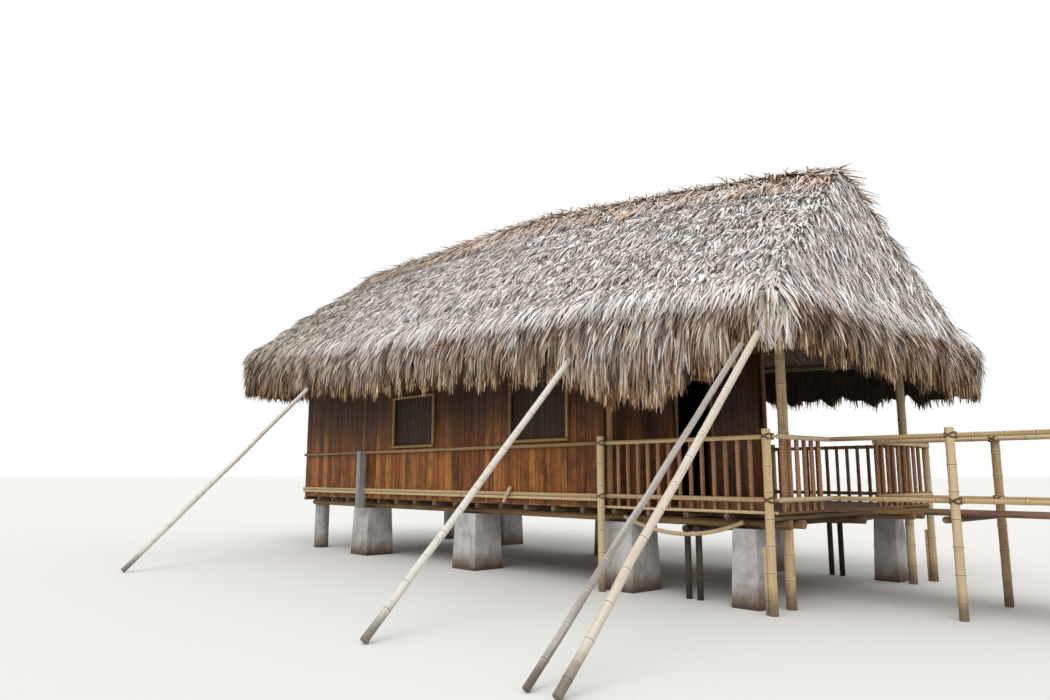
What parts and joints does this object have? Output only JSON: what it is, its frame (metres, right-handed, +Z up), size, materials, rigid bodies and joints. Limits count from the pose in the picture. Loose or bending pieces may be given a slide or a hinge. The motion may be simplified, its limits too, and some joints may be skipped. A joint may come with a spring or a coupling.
{
  "type": "stilt house",
  "caption": "Thatched timber and bamboo house on block piers, with a board-walled room, an open railed porch, a short walkway and bamboo props under its drooping eave.",
  "frame": {"origin": "centre of the whole plan, props and walkway included, at the water level where the piers stand", "axes": "+X along the front from the room to the porch, +Y from front to back, +Z up"},
  "size_m": [16.98, 9.72, 6.853],
  "materials": {
    "grey_block": "rough, stained near the water",
    "grey_timber": "weathered",
    "dark_post": "weathered",
    "round_timber": "dull",
    "floor_board": "worn",
    "wall_board": "weathered, uneven stain",
    "shutter_board": "weathered",
    "straw_bamboo": "dry, satin",
    "red_bamboo": "dry, satin",
    "grey_bamboo": "bleached, dull",
    "thatch": "bleached dry palm leaf",
    "fringe_leaf": "dry palm leaf",
    "ridge_leaf": "dry palm leaf"
  },
  "bodies": {
    "root": {"front_piers": "grey_block", "back_piers": "grey_block", "stub_posts": "dark_post", "stub_logs": "dark_post", "floor_bearers": "round_timber", "floor_joists": "round_timber", "floor_deck": "floor_board", "edge_bamboos": "straw_bamboo", "front_wall": "wall_board", "back_wall": "wall_board", "left_wall": "wall_board", "porch_wall_front": "wall_board", "porch_wall_back": "wall_board", "porch_wall_head": "wall_board", "door_frame": "straw_bamboo", "window_frames": "straw_bamboo", "window_shutters": "shutter_board", "wall_posts": "red_bamboo", "grey_post": "grey_timber", "low_wall_rails": "straw_bamboo", "hand_wall_rails": "straw_bamboo", "rail_posts": "straw_bamboo", "porch_low_rails": "straw_bamboo", "porch_hand_rails": "straw_bamboo", "front_balusters": "red_bamboo", "end_balusters": "red_bamboo", "kick_board": "shutter_board", "slack_bamboo": "straw_bamboo", "porch_roof_posts": "round_timber", "wall_plates": "round_timber", "end_plates": "round_timber", "king_posts": "round_timber", "ridge_pole": "round_timber", "front_rafters": "round_timber", "back_rafters": "round_timber", "hip_rafters": "round_timber", "roof_battens": "round_timber", "thatch_front": "thatch", "thatch_back": "thatch", "thatch_left": "thatch", "thatch_right": "thatch", "fringe_front": "fringe_leaf", "fringe_back": "fringe_leaf", "fringe_left": "fringe_leaf", "fringe_right": "fringe_leaf", "ridge_cap": "ridge_leaf", "eave_props": "grey_bamboo", "walkway_posts": "straw_bamboo", "walkway_bearers": "round_timber", "walkway_deck": "floor_board", "walkway_rails": "straw_bamboo"}
  },
  "joints": []
}
